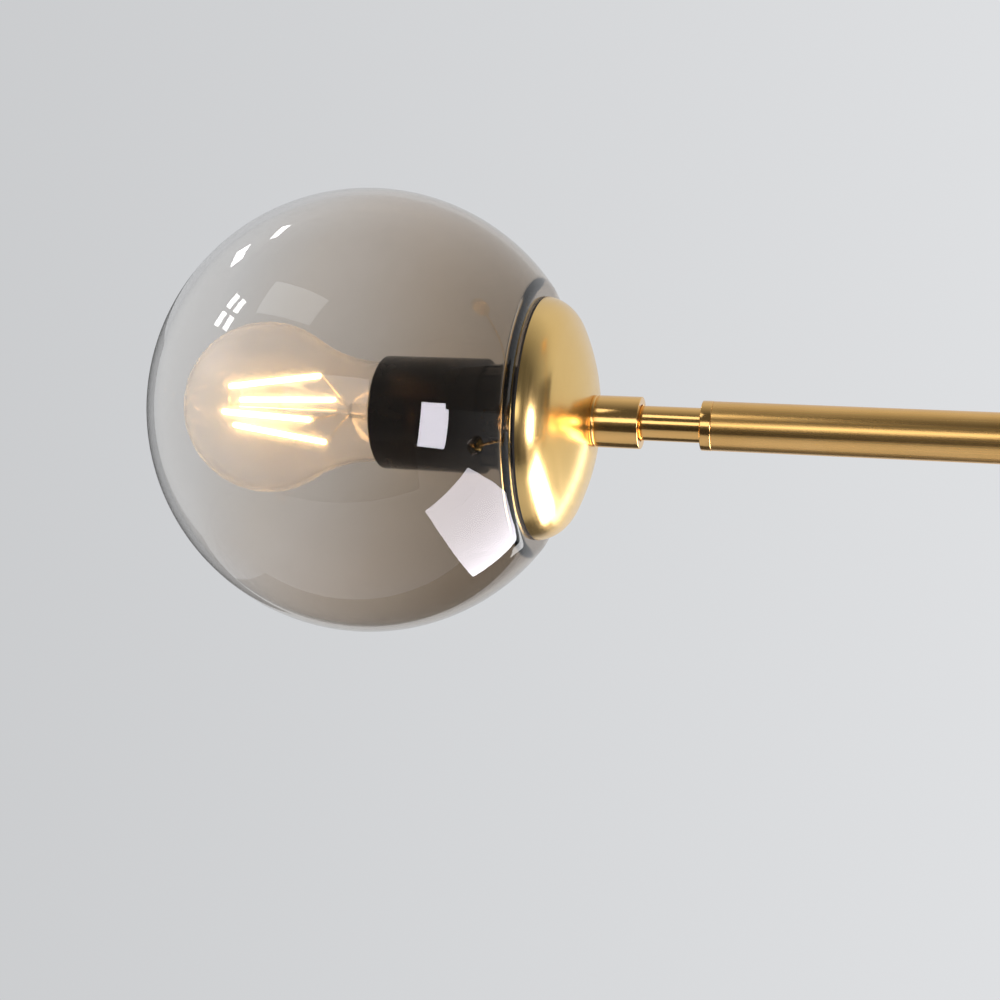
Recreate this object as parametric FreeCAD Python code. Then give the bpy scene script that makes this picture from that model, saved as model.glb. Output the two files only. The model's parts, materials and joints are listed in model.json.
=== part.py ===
# A branch chandelier: three smoked-glass globes on hinged brass arms, in millimetres, +Z up.
#
# The origin is the middle of the ceiling bracket's top face, and everything hangs below it.
# A stem drops from the canopy to a hub. Two boughs leave the hub and end in upright nodes,
# and each node's forks carry the arms. Arm 1 is level and points along -X.
#
# Everything on an arm is first made on the line of that arm. There the middle of the globe is
# the zero, and +X runs from it through the dish and the tube to the hinge. The word "place"
# in a name means such a distance along X, and "level" means a height in Z.
import FreeCAD
import Part
import math
import os

V = FreeCAD.Vector
ZERO = V(0, 0, 0)
X_AXIS = V(1, 0, 0)
Y_AXIS = V(0, 1, 0)
Z_AXIS = V(0, 0, 1)
tiny = 1e-3

# ---- Clearances, each on the radius or on one side --------------------------------------------
fit_gap = 0.05
running_gap = 0.05
ear_gap = 0.1
bulb_gap = 0.45
contact_gap = 0.3
seal_gap = 0.4

# ---- Bulb ------------------------------------------------------------------------------------
bulb_length = 104.0
bulb_radius = 29.5
bulb_neck_radius = 17.0
bulb_neck_run = 70.3
bulb_wall = 0.8
bulb_spigot_radius = 12.3
bulb_spigot_length = 4.0
bulb_tip_gap = 5.5
cap_length = 27.0
cap_skirt_radius = 13.3
cap_skirt_length = 2.5
cap_crest_radius = 13.1
cap_root_radius = 12.75
cap_thread_pitch = 3.6
cap_thread_turns = 5
contact_radius = 4.8
contact_height = 2.2

filament_count = 4
filament_radius = 0.95
filament_length = 35.5
filament_tip_reach = 7.0
filament_base_reach = 12.0
filament_tip_inset = 14.8
filament_first_angle = 20.0
wire_radius = 0.35
stem_post_radius = 2.6
stem_post_length = 17.0
stem_rod_radius = 0.6
stem_flare_length = 2.2

# ---- Lampholder ------------------------------------------------------------------------------
holder_radius = 19.25
holder_shell_length = 37.1
holder_mouth_gap = 0.7
holder_mouth_depth = 4.0
holder_mouth_taper = 4.0
holder_edge_round = 1.2
core_radius = 16.2
core_thickness = 4.0
core_contact_radius = 4.5
core_contact_height = 1.2
base_radius = 17.5
base_length = 13.35
base_wall = 3.0
base_edge_round = 4.0
base_rib_count = 16
base_rib_width = 1.8
base_rib_depth = 0.8
boss_radius = 9.0

# ---- Globe, seal and dish --------------------------------------------------------------------
globe_radius = 75.0
globe_wall = 2.2
globe_pass_gap = 6.5
globe_lip_width = 8.4
globe_lip_thickness = 3.0
globe_lip_round = 3.0
globe_edge_round = 1.1

seal_thickness = 0.8
seal_width = 7.0
seal_plug_depth = 4.0
seal_plug_width = 2.4
seal_nose = 0.8
seal_back_height = 3.0

dish_overlap = 4.3
dish_rise = 19.4
dish_skirt = 2.35
dish_shoulder_radius = 13.0
dish_wall = 1.2
dish_seat_radius = 10.3

# ---- Collar, neck and tube -------------------------------------------------------------------
thread_radius = 5.0
wire_way_radius = 2.8
locknut_width = 14.0
locknut_thickness = 3.0
thread_in_boss = 13.0
collar_radius = 8.55
collar_length = 15.85
collar_recess = 6.5
collar_recess_gap = 0.3
collar_edge = 0.5
neck_radius = 5.7
neck_length = 19.85
cap_ring_radius = 8.1
cap_ring_length = 3.55
cap_ring_edge = 0.4
tube_radius = 8.0
tube_wall = 1.0
tube_length = 204.0
spigot_length = 14.0

# ---- Hinge -----------------------------------------------------------------------------------
eye_thickness = 7.8
eye_radius = 7.0
eye_reach = 14.0
eye_shoulder = 2.5
ear_thickness = 4.0
ear_radius = 9.0
fork_reach = 15.0
fork_slot_margin = 2.5
bolt_radius = 2.5
bolt_head_radius = 4.6
bolt_head_height = 3.0
bolt_edge_round = 0.8
bolt_tail = 4.5
nut_width = 8.0
nut_height = 3.5
nut_wall = 0.8

# ---- Hub, nodes and boughs -------------------------------------------------------------------
hub_drop = 610.0
hub_radius = 15.0
hub_height = 46.0
node_radius = 13.0
node_height = 44.0
post_edge_round = 2.5
socket_floor = 7.0
post_way_radius = 3.5
bough_length = 190.0

# ---- Ceiling end -----------------------------------------------------------------------------
canopy_radius = 60.0
canopy_depth = 28.0
canopy_wall = 1.2
canopy_edge_round = 9.0
bracket_thickness = 2.0
bracket_width = 22.0
bracket_margin = 1.8
bracket_tab = 16.0
slot_spacing = 74.0
slot_length = 14.0
slot_width = 5.2
canopy_screw_radius = 2.0
canopy_screw_level = -12.0
canopy_screw_length = 8.0
canopy_screw_head_radius = 4.2
canopy_screw_head_height = 2.6
nipple_top_level = -0.4
nipple_bore_radius = 3.5
nipple_in_collar = 20.0
stem_locknut_thickness = 4.0
stem_collar_radius = 11.0
stem_collar_height = 12.0
stem_collar_edge = 1.5
block_length = 28.0
block_width = 17.0
block_height = 13.0
block_gap = 2.0
block_ways = 3
block_way_radius = 1.7

# Each bough: name, compass direction about Z, and rise above the level, in degrees.
BOUGHS = (
    ("left", 180.0, 20.0),
    ("right", 0.0, -15.0),
)
# Each arm: number, the node that carries it, compass direction and rise at rest.
ARMS = (
    (1, "left", 180.0, 0.0),
    (2, "right", 62.0, 22.0),
    (3, "right", -55.0, -20.0),
)

# ---- Radii that follow -----------------------------------------------------------------------
globe_hole_radius = bulb_radius + globe_pass_gap
globe_lip_radius = globe_hole_radius + globe_lip_width
dish_radius = globe_hole_radius + dish_overlap
seal_plug_radius = globe_hole_radius - seal_gap
seal_bore_radius = seal_plug_radius - seal_plug_width
seal_lip_radius = seal_bore_radius + seal_width
holder_bore_radius = cap_skirt_radius + bulb_gap
holder_mouth_radius = bulb_neck_radius + holder_mouth_gap
tube_bore_radius = tube_radius - tube_wall
spigot_radius = tube_bore_radius - fit_gap
thread_hole_radius = thread_radius + fit_gap

# ---- Places along an arm, from the middle of the globe ---------------------------------------
globe_seat_place = math.sqrt(globe_radius ** 2 - globe_lip_radius ** 2)
dish_rim_place = globe_seat_place + seal_thickness
dish_middle_place = dish_rim_place - dish_skirt
dish_full_radius = dish_radius + dish_shoulder_radius - math.sqrt(dish_shoulder_radius ** 2 - dish_skirt ** 2)
dish_crown_radius = (
    (dish_full_radius ** 2 + dish_rise ** 2 - 2 * dish_full_radius * dish_shoulder_radius)
    / (2 * (dish_rise - dish_shoulder_radius))
)
dish_crown_place = dish_middle_place + dish_rise - dish_crown_radius
dish_seat_place = dish_crown_place + math.sqrt(dish_crown_radius ** 2 - dish_seat_radius ** 2)
dish_floor_place = dish_seat_place - dish_wall
bulb_tip_place = globe_wall - globe_radius + bulb_tip_gap
bulb_middle_place = bulb_tip_place + bulb_radius
bulb_neck_place = bulb_tip_place + bulb_neck_run
bulb_contact_place = bulb_tip_place + bulb_length
cap_rim_place = bulb_contact_place - cap_length
bulb_end_place = cap_rim_place + bulb_spigot_length
core_face_place = bulb_contact_place + contact_gap
shell_back_place = core_face_place + core_contact_height + core_thickness
shell_mouth_place = shell_back_place - holder_shell_length
boss_start_place = shell_back_place + base_length
boss_end_place = dish_floor_place - locknut_thickness
collar_end_place = dish_seat_place + collar_length
neck_shoulder_place = collar_end_place - collar_recess
cap_ring_place = collar_end_place + neck_length
tube_start_place = cap_ring_place + cap_ring_length
tube_end_place = tube_start_place + tube_length
hinge_place = tube_end_place + eye_reach
neck_thread_place = boss_end_place - thread_in_boss

# ---- Levels of the stem ----------------------------------------------------------------------
canopy_floor_level = -canopy_depth
stem_top_level = canopy_floor_level - stem_collar_height
hub_top_level = -hub_drop + hub_height / 2


# ---- Shapes used again and again -------------------------------------------------------------
def turned(edges, axis=X_AXIS):
    """The solid of a closed outline in the XY plane, turned about an axis through the zero."""
    solid = Part.Face(Part.Wire(edges)).revolve(ZERO, axis, 360)
    if solid.Volume < 0:
        solid.reverse()
    return solid


def outline(*points):
    """Straight edges through (place, radius) points, closed at the end."""
    corners = [V(place, radius, 0) for place, radius in points]
    return [Part.makeLine(a, b) for a, b in zip(corners, corners[1:] + corners[:1])]


def spun(*points):
    return turned(outline(*points))


def arc_about(centre, start, end):
    """The arc of under half a turn from one point to another about a centre."""
    bisector = (start - centre) + (end - centre)
    middle = centre + bisector * ((start - centre).Length / bisector.Length)
    return Part.Arc(start, middle, end).toShape()


def ring(start, end, outer, inner):
    return spun((start, inner), (start, outer), (end, outer), (end, inner))


def rod(start, end, radius):
    return Part.makeCylinder(radius, end - start, V(start, 0, 0), X_AXIS)


def upright(bottom, top, radius):
    return Part.makeCylinder(radius, top - bottom, V(0, 0, bottom), Z_AXIS)


def crosswise(place, low, high, radius):
    """A cylinder along Y at a place on the X axis."""
    return Part.makeCylinder(radius, high - low, V(place, low, 0), Y_AXIS)


def hexagon(start, end, width):
    """A hexagonal bar along X, width across its flats."""
    corner = width / math.sqrt(3)
    turns = [math.radians(60 * n) for n in range(7)]
    points = [V(start, corner * math.cos(turn), corner * math.sin(turn)) for turn in turns]
    return Part.Face(Part.makePolygon(points)).extrude(V(end - start, 0, 0))


def round_edges(solid):
    return [edge for edge in solid.Edges if not edge.Degenerated and isinstance(edge.Curve, Part.Circle)]


def circle_edges(solid, place, radius):
    """The circular edges of a turned solid at one place and radius."""
    return [
        edge
        for edge in round_edges(solid)
        if abs(edge.Curve.Radius - radius) < tiny and abs(edge.Curve.Center.x - place) < tiny
    ]


def upright_bar(radius, height, edge_round):
    """A round post about the Z axis, centred on the zero, with both edges rounded."""
    bar = upright(-height / 2, height / 2, radius)
    return bar.makeFillet(edge_round, round_edges(bar))


def rounded_rod(start, end, radius, edge_round):
    """A rod whose far end is rounded."""
    bar = rod(start, end, radius)
    return bar.makeFillet(edge_round, circle_edges(bar, end, radius))


def heading(compass, rise=0.0):
    """The unit vector at a compass direction about Z and a rise above the level."""
    flat = math.cos(math.radians(rise))
    turn = math.radians(compass)
    return V(flat * math.cos(turn), flat * math.sin(turn), math.sin(math.radians(rise)))


def aimed(shape, origin, compass, rise=0.0):
    """Turns a shape's +X towards a heading and puts its zero at the origin given."""
    turn = FreeCAD.Rotation(Z_AXIS, compass).multiply(FreeCAD.Rotation(Y_AXIS, -rise))
    moved = shape.copy()
    moved.Placement = FreeCAD.Placement(origin, turn).multiply(moved.Placement)
    return moved


# ---- Places of the branches ------------------------------------------------------------------
hub_middle = V(0, 0, -hub_drop)
fork_hinge_reach = node_radius + fork_reach


def bough_heading(side):
    return next((compass, rise) for name, compass, rise in BOUGHS if name == side)


def node_middle(side):
    return hub_middle + heading(*bough_heading(side)) * bough_length


def hinge_point(side, compass):
    return node_middle(side) + heading(compass) * fork_hinge_reach


def on_arm(shape, arm):
    """Carries a shape from the arm's own line to where that arm is at rest."""
    _, side, compass, rise = arm
    globe_middle = hinge_point(side, compass) + heading(compass, rise) * hinge_place
    return aimed(shape, globe_middle, compass - 180, -rise)


# ---- Globe, seal and dish --------------------------------------------------------------------
def globe():
    outside = Part.makeSphere(globe_radius).common(rod(-2 * globe_radius, globe_seat_place, 2 * globe_radius))
    outside = outside.makeFillet(globe_lip_round, circle_edges(outside, globe_seat_place, globe_lip_radius))
    inner_radius = globe_radius - globe_wall
    floor_place = globe_seat_place - globe_lip_thickness
    inside = Part.makeSphere(inner_radius).common(rod(-2 * globe_radius, floor_place, 2 * globe_radius))
    floor_radius = math.sqrt(inner_radius ** 2 - floor_place ** 2)
    inside = inside.makeFillet(globe_lip_round, circle_edges(inside, floor_place, floor_radius))
    shell = outside.cut(inside).cut(rod(0, globe_radius, globe_hole_radius))
    rims = circle_edges(shell, globe_seat_place, globe_hole_radius)
    rims += circle_edges(shell, floor_place, globe_hole_radius)
    return shell.makeFillet(globe_edge_round, rims)


def seal():
    plug_end = globe_seat_place - seal_plug_depth
    back_end = dish_rim_place + seal_back_height
    return spun(
        (plug_end, seal_bore_radius),
        (plug_end, seal_plug_radius - seal_nose),
        (plug_end + seal_nose, seal_plug_radius),
        (globe_seat_place, seal_plug_radius),
        (globe_seat_place, seal_lip_radius),
        (dish_rim_place, seal_lip_radius),
        (dish_rim_place, seal_plug_radius),
        (back_end, seal_plug_radius),
        (back_end, seal_bore_radius),
    )


def dish_outline(inset):
    """The dish's outline, set in by the wall on its inner side: its two arcs, rim point and seat point."""
    shoulder = V(dish_middle_place, dish_full_radius - dish_shoulder_radius, 0)
    crown = V(dish_crown_place, 0, 0)
    shoulder_radius = dish_shoulder_radius - inset
    crown_radius = dish_crown_radius - inset
    seat_place = dish_seat_place - inset
    rim = V(dish_rim_place, shoulder.y + math.sqrt(shoulder_radius ** 2 - dish_skirt ** 2), 0)
    join = crown + (shoulder - crown) * (crown_radius / (shoulder - crown).Length)
    seat = V(seat_place, math.sqrt(crown_radius ** 2 - (seat_place - dish_crown_place) ** 2), 0)
    return [arc_about(shoulder, rim, join), arc_about(crown, join, seat)], rim, seat


def dish():
    outer_arcs, outer_rim, outer_seat = dish_outline(0)
    inner_arcs, inner_rim, inner_seat = dish_outline(dish_wall)
    hole_outer = V(dish_seat_place, thread_hole_radius, 0)
    hole_inner = V(dish_floor_place, thread_hole_radius, 0)
    edges = outer_arcs + inner_arcs
    edges.append(Part.makeLine(outer_seat, hole_outer))
    edges.append(Part.makeLine(hole_outer, hole_inner))
    edges.append(Part.makeLine(hole_inner, inner_seat))
    edges.append(Part.makeLine(inner_rim, outer_rim))
    return turned(Part.__sortEdges__(edges))


# ---- Collar, neck and tube -------------------------------------------------------------------
def collar():
    recess_radius = neck_radius + collar_recess_gap
    return spun(
        (dish_seat_place, thread_hole_radius),
        (dish_seat_place, collar_radius),
        (collar_end_place - collar_edge, collar_radius),
        (collar_end_place, collar_radius - collar_edge),
        (collar_end_place, recess_radius),
        (neck_shoulder_place, recess_radius),
        (neck_shoulder_place, thread_hole_radius),
    )


def neck():
    """Threaded end, thin neck, cap ring and the spigot that the tube slides on, all one turned piece."""
    spigot_end = tube_start_place + spigot_length
    return spun(
        (neck_thread_place, wire_way_radius),
        (neck_thread_place, thread_radius),
        (neck_shoulder_place, thread_radius),
        (neck_shoulder_place, neck_radius),
        (cap_ring_place, neck_radius),
        (cap_ring_place, cap_ring_radius - cap_ring_edge),
        (cap_ring_place + cap_ring_edge, cap_ring_radius),
        (tube_start_place - cap_ring_edge, cap_ring_radius),
        (tube_start_place, cap_ring_radius - cap_ring_edge),
        (tube_start_place, spigot_radius),
        (spigot_end, spigot_radius),
        (spigot_end, wire_way_radius),
    )


def locknut():
    return hexagon(boss_end_place, dish_floor_place, locknut_width).cut(
        rod(boss_end_place, dish_floor_place, thread_hole_radius)
    )


def tube():
    return ring(tube_start_place, tube_end_place, tube_radius, tube_bore_radius)


def pivot_eye():
    """Spigot, shoulder and a flat eye that turns on the pivot bolt."""
    half = eye_thickness / 2
    spigot = rod(tube_end_place - spigot_length, tube_end_place, spigot_radius)
    shoulder = rod(tube_end_place, tube_end_place + eye_shoulder, tube_radius)
    blade = Part.makeBox(eye_reach, eye_thickness, 2 * eye_radius, V(tube_end_place, -half, -eye_radius))
    tip = crosswise(hinge_place, -half, half, eye_radius)
    hole = crosswise(hinge_place, -eye_thickness, eye_thickness, bolt_radius + running_gap)
    return spigot.fuse([shoulder, blade, tip]).removeSplitter().cut(hole)


# ---- Lampholder ------------------------------------------------------------------------------
def holder_shell():
    mouth_end = shell_mouth_place + holder_mouth_depth
    taper_end = mouth_end + holder_mouth_taper
    recess = shell_back_place - core_thickness
    shell = spun(
        (shell_mouth_place, holder_mouth_radius),
        (shell_mouth_place, holder_radius),
        (shell_back_place, holder_radius),
        (shell_back_place, core_radius + fit_gap),
        (recess, core_radius + fit_gap),
        (recess, holder_bore_radius),
        (taper_end, holder_bore_radius),
        (mouth_end, holder_mouth_radius),
    )
    edges = circle_edges(shell, shell_mouth_place, holder_radius)
    edges += circle_edges(shell, shell_back_place, holder_radius)
    return shell.makeFillet(holder_edge_round, edges)


def holder_core():
    """Ceramic disc with the raised centre contact that the bulb presses on."""
    disc_face = shell_back_place - core_thickness
    disc = rod(disc_face, shell_back_place, core_radius)
    contact = rod(core_face_place, disc_face, core_contact_radius)
    return disc.fuse(contact).removeSplitter()


def holder_base():
    body = rounded_rod(shell_back_place, boss_start_place, base_radius, base_edge_round)
    boss = rod(boss_start_place, boss_end_place, boss_radius)
    hollow_end = boss_start_place - base_wall
    hollow = rod(shell_back_place, hollow_end, base_radius - base_wall)
    bore = rod(hollow_end, boss_end_place, thread_hole_radius)
    rib_run = base_length - base_edge_round
    groove = Part.makeBox(
        rib_run, base_rib_width, 2 * base_rib_depth,
        V(shell_back_place, -base_rib_width / 2, base_radius - base_rib_depth),
    )
    grooves = []
    for n in range(base_rib_count):
        grooves.append(groove.rotated(ZERO, X_AXIS, 360 * n / base_rib_count))
    return body.fuse(boss).cut([hollow, bore] + grooves)


# ---- Bulb ------------------------------------------------------------------------------------
def bulb_form(inset, end_place):
    """The bulb's outer form, or its inner one set in by the wall, closed at a flat end."""
    ball = bulb_radius - inset
    neck_r = bulb_neck_radius - inset
    spigot = bulb_spigot_radius - inset
    run = bulb_neck_place - bulb_middle_place
    waist = (run ** 2 + neck_r ** 2 - ball ** 2) / (2 * (ball - neck_r))
    share = ball / (ball + waist)
    ball_centre = V(bulb_middle_place, 0, 0)
    waist_centre = V(bulb_neck_place, neck_r + waist, 0)
    join = ball_centre + (waist_centre - ball_centre) * share
    neck_point = V(bulb_neck_place, neck_r, 0)
    tip = V(bulb_middle_place - ball, 0, 0)
    shoulder_run = cap_rim_place - fit_gap - bulb_neck_place
    drop = neck_r - spigot
    shoulder_end = V(bulb_neck_place + shoulder_run, spigot, 0)
    slant = math.sqrt(0.5)
    shoulder_mid = V(bulb_neck_place + shoulder_run * slant, spigot + drop * slant, 0)
    end = V(end_place, spigot, 0)
    foot = V(end_place, 0, 0)
    edges = [
        arc_about(ball_centre, tip, join),
        arc_about(waist_centre, join, neck_point),
        Part.Arc(neck_point, shoulder_mid, shoulder_end).toShape(),
        Part.makeLine(shoulder_end, end),
        Part.makeLine(end, foot),
        Part.makeLine(foot, tip),
    ]
    return turned(edges)


def bulb_glass():
    return bulb_form(0, bulb_end_place).cut(bulb_form(bulb_wall, bulb_end_place + bulb_wall))


def bulb_cap():
    thread_start = cap_rim_place + cap_skirt_length
    thread_end = thread_start + cap_thread_pitch * cap_thread_turns
    bore = bulb_spigot_radius + fit_gap
    points = [(cap_rim_place, bore), (cap_rim_place, cap_skirt_radius), (thread_start, cap_skirt_radius)]
    for turn in range(cap_thread_turns):
        start = thread_start + turn * cap_thread_pitch
        points.append((start, cap_root_radius))
        points.append((start + cap_thread_pitch / 2, cap_crest_radius))
    points.append((thread_end, cap_root_radius))
    neck_end = bulb_contact_place - contact_height
    points.append((neck_end, contact_radius))
    points.append((bulb_contact_place, contact_radius))
    points.append((bulb_contact_place, 0))
    points.append((thread_end - cap_thread_pitch / 2, 0))
    points.append((thread_end - cap_thread_pitch / 2, bore))
    return spun(*points)


def filament_ends():
    """Tip and base end of each filament, spaced round the bulb's axis."""
    tip_place = bulb_tip_place + filament_tip_inset
    spread = filament_base_reach - filament_tip_reach
    base_place = tip_place + math.sqrt(filament_length ** 2 - spread ** 2)
    ends = []
    for n in range(filament_count):
        turn = math.radians(filament_first_angle + 360 * n / filament_count)
        round_axis = V(0, math.cos(turn), math.sin(turn))
        ends.append((X_AXIS * tip_place + round_axis * filament_tip_reach,
                     X_AXIS * base_place + round_axis * filament_base_reach))
    return ends


def strut(start, end, radius):
    return Part.makeCylinder(radius, (end - start).Length, start, end - start)


def bulb_stem():
    """Flared inner glass with a thin rod to the tip, and the wires that hold the filaments' ends."""
    flare = bulb_spigot_radius - bulb_wall - fit_gap
    flare_start = cap_rim_place
    post_end = flare_start - stem_post_length
    ends = filament_ends()
    rod_end = ends[0][0].x - wire_radius
    glass = spun(
        (bulb_end_place, 0),
        (bulb_end_place, flare),
        (flare_start, flare),
        (flare_start - stem_flare_length, stem_post_radius),
        (post_end, stem_post_radius),
        (post_end, stem_rod_radius),
        (rod_end, stem_rod_radius),
        (rod_end, 0),
    )
    wires = []
    for tip, base in ends:
        wires.append(strut(V(tip.x, 0, 0), tip, wire_radius).cut(glass))
        wires.append(strut(V(post_end, 0, 0), base, wire_radius).cut(glass))
    return Part.makeCompound([glass] + [solid for wire in wires for solid in wire.Solids])


def bulb_filaments():
    wires = bulb_stem()
    rods = [strut(tip, base, filament_radius).cut(wires) for tip, base in filament_ends()]
    return Part.makeCompound(rods)


# ---- Nodes, hub, boughs and hinges -----------------------------------------------------------
def bough_socket(compass, rise):
    """The hole that takes a bough's end, with the cross way for its wires, from the post's middle."""
    pocket = rod(socket_floor, 2 * bough_length, tube_radius + fit_gap)
    way = rod(0, socket_floor, post_way_radius)
    return [aimed(pocket, ZERO, compass, rise), aimed(way, ZERO, compass, rise)]


def hub():
    post = upright_bar(hub_radius, hub_height, post_edge_round)
    post = post.fuse(upright(0, hub_height / 2 + spigot_length, spigot_radius))
    cuts = [upright(0, hub_height, post_way_radius)]
    for _, compass, rise in BOUGHS:
        cuts += bough_socket(compass, rise)
    return post.cut(cuts).translated(hub_middle)


def fork(compass):
    """Two ears on a post's side, with the slot for the eye and the bolt's hole."""
    half = eye_thickness / 2 + ear_gap + ear_thickness
    block = Part.makeBox(fork_hinge_reach, 2 * half, 2 * ear_radius, V(0, -half, -ear_radius))
    ears = block.fuse(crosswise(fork_hinge_reach, -half, half, ear_radius))
    return aimed(ears.removeSplitter(), ZERO, compass)


def fork_cuts(compass):
    slot_half = eye_thickness / 2 + ear_gap
    slot_start = fork_hinge_reach - eye_radius - fork_slot_margin
    slot_corner = V(slot_start, -slot_half, -node_height)
    slot = Part.makeBox(fork_hinge_reach, 2 * slot_half, 2 * node_height, slot_corner)
    hole = crosswise(fork_hinge_reach, -node_radius, node_radius, bolt_radius + fit_gap)
    way = rod(0, slot_start, bolt_radius)
    return [aimed(cut, ZERO, compass) for cut in (slot, hole, way)]


def node_post(side):
    """A post on a bough's end, with one fork for each arm that it carries."""
    compass, rise = bough_heading(side)
    forks = [arm[2] for arm in ARMS if arm[1] == side]
    post = upright_bar(node_radius, node_height, post_edge_round).fuse([fork(turn) for turn in forks])
    cuts = bough_socket(compass - 180, -rise)
    for turn in forks:
        cuts += fork_cuts(turn)
    return post.cut(cuts).translated(node_middle(side))


def bough(compass, rise):
    pipe = ring(socket_floor, bough_length - socket_floor, tube_radius, tube_bore_radius)
    return aimed(pipe, hub_middle, compass, rise)


def at_hinges(make):
    """A copy of one piece at each arm's hinge, where +X of the piece runs along the hinge's axis."""
    copies = []
    for _, side, compass, _ in ARMS:
        copies.append(aimed(make(), hinge_point(side, compass), compass + 90))
    return Part.makeCompound(copies)


def pivot_bolt():
    grip = eye_thickness / 2 + ear_gap + ear_thickness
    head = rounded_rod(grip, grip + bolt_head_height, bolt_head_radius, bolt_edge_round)
    return head.fuse(rod(-grip - bolt_tail, grip, bolt_radius)).removeSplitter()


def pivot_nut():
    """A domed nut on the bolt's tail."""
    grip = eye_thickness / 2 + ear_gap + ear_thickness
    dome_radius = bolt_radius + fit_gap + nut_wall
    dome_place = -grip - nut_height
    dome = Part.makeSphere(dome_radius, V(dome_place, 0, 0))
    return hexagon(dome_place, -grip, nut_width).fuse(dome).cut(
        rod(-grip - bolt_tail - fit_gap, -grip + nut_height, bolt_radius + fit_gap)
    )


# ---- Stem and ceiling end --------------------------------------------------------------------
def stem_tube():
    outside = upright(hub_top_level, stem_top_level, tube_radius)
    return outside.cut(upright(hub_top_level, stem_top_level, tube_bore_radius))


def stem_collar():
    mid_level = (stem_top_level + canopy_floor_level) / 2
    body = upright(stem_top_level, canopy_floor_level, stem_collar_radius)
    lower_edges = [edge for edge in round_edges(body) if edge.Curve.Center.z < mid_level]
    body = body.makeFillet(stem_collar_edge, lower_edges)
    spigot = upright(stem_top_level - spigot_length, stem_top_level, spigot_radius)
    bore = upright(stem_top_level - spigot_length, canopy_floor_level, thread_hole_radius)
    return body.fuse(spigot).cut(bore)


def stem_nipple():
    bottom = canopy_floor_level - nipple_in_collar
    outside = upright(bottom, nipple_top_level, thread_radius)
    return outside.cut(upright(bottom, nipple_top_level, nipple_bore_radius))


def stem_locknut():
    hole = rod(0, stem_locknut_thickness, thread_hole_radius)
    nut = hexagon(0, stem_locknut_thickness, locknut_width).cut(hole)
    return nut.rotated(ZERO, Y_AXIS, 90).translated(V(0, 0, -bracket_thickness))


def canopy():
    """A spun cup, open to the ceiling, with a rounded lower edge."""
    outside = upright(canopy_floor_level, 0, canopy_radius)
    inside = upright(canopy_floor_level + canopy_wall, 0, canopy_radius - canopy_wall)

    def lower_rim(cup):
        return [edge for edge in round_edges(cup) if edge.Curve.Center.z < canopy_floor_level / 2]

    outside = outside.makeFillet(canopy_edge_round, lower_rim(outside))
    inside = inside.makeFillet(canopy_edge_round - canopy_wall, lower_rim(inside))
    stem_hole = upright(canopy_floor_level, 0, thread_hole_radius)
    side_holes = rod(-canopy_radius, canopy_radius, canopy_screw_radius + 2 * fit_gap)
    return outside.cut([inside, stem_hole, side_holes.translated(V(0, 0, canopy_screw_level))])


def slot_hole(place):
    half_run = (slot_length - slot_width) / 2
    corner = V(place - half_run, -slot_width / 2, -2 * bracket_thickness)
    middle = Part.makeBox(2 * half_run, slot_width, 3 * bracket_thickness, corner)
    end = upright(-2 * bracket_thickness, bracket_thickness, slot_width / 2)
    return middle.fuse([end.translated(V(place + side * half_run, 0, 0)) for side in (-1, 1)])


def ceiling_bracket():
    """A steel strap with two slots, turned down at both ends to take the canopy's screws."""
    half = canopy_radius - canopy_wall - bracket_margin
    edge = -bracket_width / 2
    strap = Part.makeBox(2 * half, bracket_width, bracket_thickness, V(-half, edge, -bracket_thickness))
    tabs = []
    for place in (-half, half - bracket_thickness):
        tabs.append(Part.makeBox(bracket_thickness, bracket_width, bracket_tab, V(place, edge, -bracket_tab)))
    screw_holes = rod(-half, half, canopy_screw_radius + fit_gap)
    cuts = [slot_hole(-slot_spacing / 2), slot_hole(slot_spacing / 2)]
    cuts.append(upright(-bracket_thickness, 0, thread_hole_radius))
    cuts.append(screw_holes.translated(V(0, 0, canopy_screw_level)))
    return strap.fuse(tabs).removeSplitter().cut(cuts)


def canopy_screws():
    head_end = canopy_radius + canopy_screw_head_height
    head = rounded_rod(canopy_radius, head_end, canopy_screw_head_radius, bolt_edge_round)
    shank = rod(canopy_radius - canopy_screw_length, canopy_radius, canopy_screw_radius)
    screw = head.fuse(shank).removeSplitter().translated(V(0, 0, canopy_screw_level))
    return Part.makeCompound([screw, screw.rotated(ZERO, Z_AXIS, 180)])


def terminal_block():
    """A block under the bracket, beside the stem's nut: each pole has a lead's way and a screw's hole."""
    start = locknut_width / math.sqrt(3) + block_gap
    top = -bracket_thickness
    bottom = top - block_height
    middle_level = top - block_height / 2
    block = Part.makeBox(block_width, block_length, block_height, V(start, -block_length / 2, bottom))
    pitch = block_length / block_ways
    cuts = []
    for n in range(block_ways):
        across = pitch * (n + 0.5) - block_length / 2
        way = rod(start, start + block_width, block_way_radius)
        screw_hole = upright(bottom, middle_level, block_way_radius)
        cuts.append(way.translated(V(0, across, middle_level)))
        cuts.append(screw_hole.translated(V(start + block_width / 2, across, 0)))
    return block.cut(cuts)


# ---- All the pieces --------------------------------------------------------------------------
ARM_PIECES = {
    "globe": globe,
    "seal": seal,
    "dish": dish,
    "collar": collar,
    "neck": neck,
    "locknut": locknut,
    "tube": tube,
    "pivot_eye": pivot_eye,
    "holder_shell": holder_shell,
    "holder_core": holder_core,
    "holder_base": holder_base,
    "bulb_glass": bulb_glass,
    "bulb_cap": bulb_cap,
    "bulb_stem": bulb_stem,
    "bulb_filaments": bulb_filaments,
}

FRAME_PIECES = {
    "ceiling_bracket": ceiling_bracket,
    "canopy": canopy,
    "canopy_screws": canopy_screws,
    "terminal_block": terminal_block,
    "stem_nipple": stem_nipple,
    "stem_locknut": stem_locknut,
    "stem_collar": stem_collar,
    "stem_tube": stem_tube,
    "hub": hub,
}


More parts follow.
